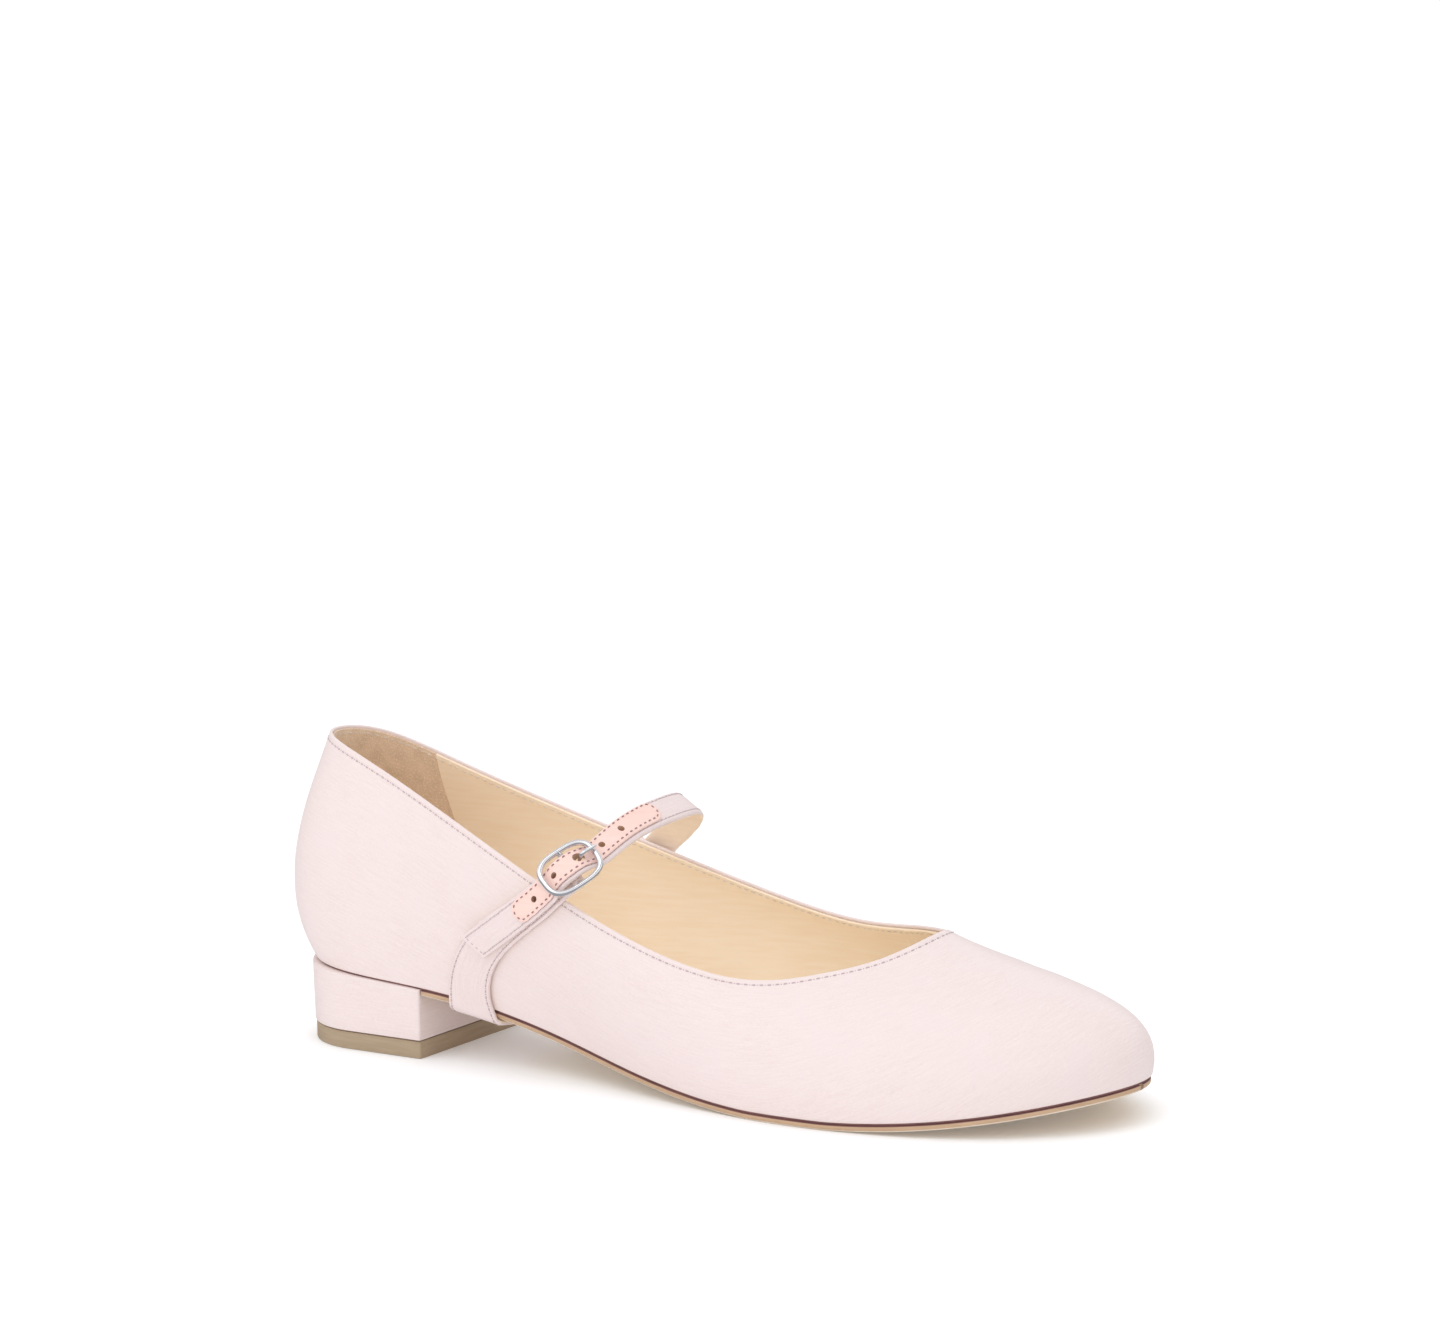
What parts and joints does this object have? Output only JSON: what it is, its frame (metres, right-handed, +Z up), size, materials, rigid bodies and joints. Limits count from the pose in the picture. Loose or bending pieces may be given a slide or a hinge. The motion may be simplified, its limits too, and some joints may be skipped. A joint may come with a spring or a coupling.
{
  "type": "satin bar shoe with a low block heel",
  "caption": "Right satin bar shoe: round toe, low covered block heel, and a narrow strap that runs under the arch and buckles over the instep.",
  "frame": {"origin": "middle of the heel lift's underside, on the floor", "axes": "+X towards the toe, +Z up, lateral side towards -Y"},
  "size_m": [0.2493, 0.0834, 0.0802],
  "materials": {
    "satin": "satin",
    "insole": "matte",
    "sole": "satin",
    "lift": "matte",
    "patch": "matte",
    "heel_core": "satin",
    "metal": "polished"
  },
  "bodies": {
    "root": {"upper": "satin", "insole": "insole", "outsole": "sole", "heel_block": "heel_core", "heel_lift": "lift", "strap_sling": "satin", "strap_over": "satin", "strap_patch": "patch", "buckle_frame": "metal", "buckle_prong": "metal"}
  },
  "joints": []
}
